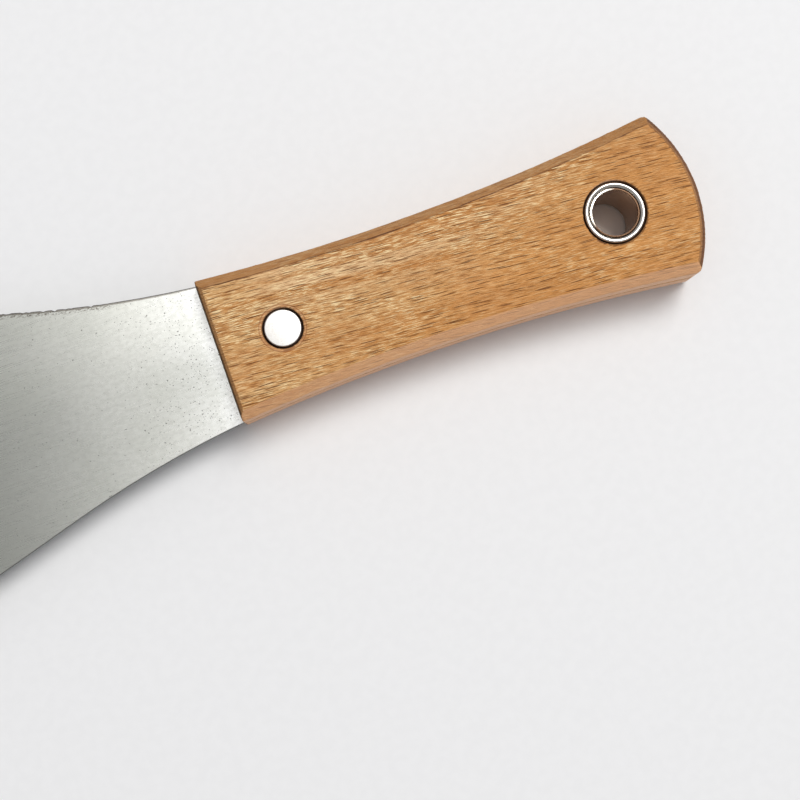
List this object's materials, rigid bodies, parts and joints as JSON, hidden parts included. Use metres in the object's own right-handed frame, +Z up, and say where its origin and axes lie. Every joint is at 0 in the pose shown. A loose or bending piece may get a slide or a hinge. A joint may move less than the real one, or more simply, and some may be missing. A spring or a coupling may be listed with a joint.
{
  "type": "flexible putty knife",
  "caption": "Flexible putty knife: a flared, thin steel blade with a tang riveted between two waisted beech scales, with a solid rivet in front and a hanging eyelet at the butt.",
  "frame": {"origin": "middle of the whole outline, on the surface that the handle's flat underside rests on", "axes": "+X from the working edge of the blade to the butt of the handle, +Y across the blade, +Z up out of the handle's upper face"},
  "size_m": [0.201, 0.076, 0.017],
  "materials": {
    "blade_steel": "satin, lightly scratched along the blade",
    "beech": "sanded and thinly varnished beech",
    "rivet_metal": "flat satin head",
    "eyelet_nickel": "bright nickel plate"
  },
  "bodies": {
    "root": {"blade": "blade_steel", "upper_scale": "beech", "lower_scale": "beech", "rivet_barrel": "rivet_metal", "rivet_pin": "rivet_metal", "eyelet_outer": "eyelet_nickel", "eyelet_inner": "eyelet_nickel"}
  },
  "joints": []
}
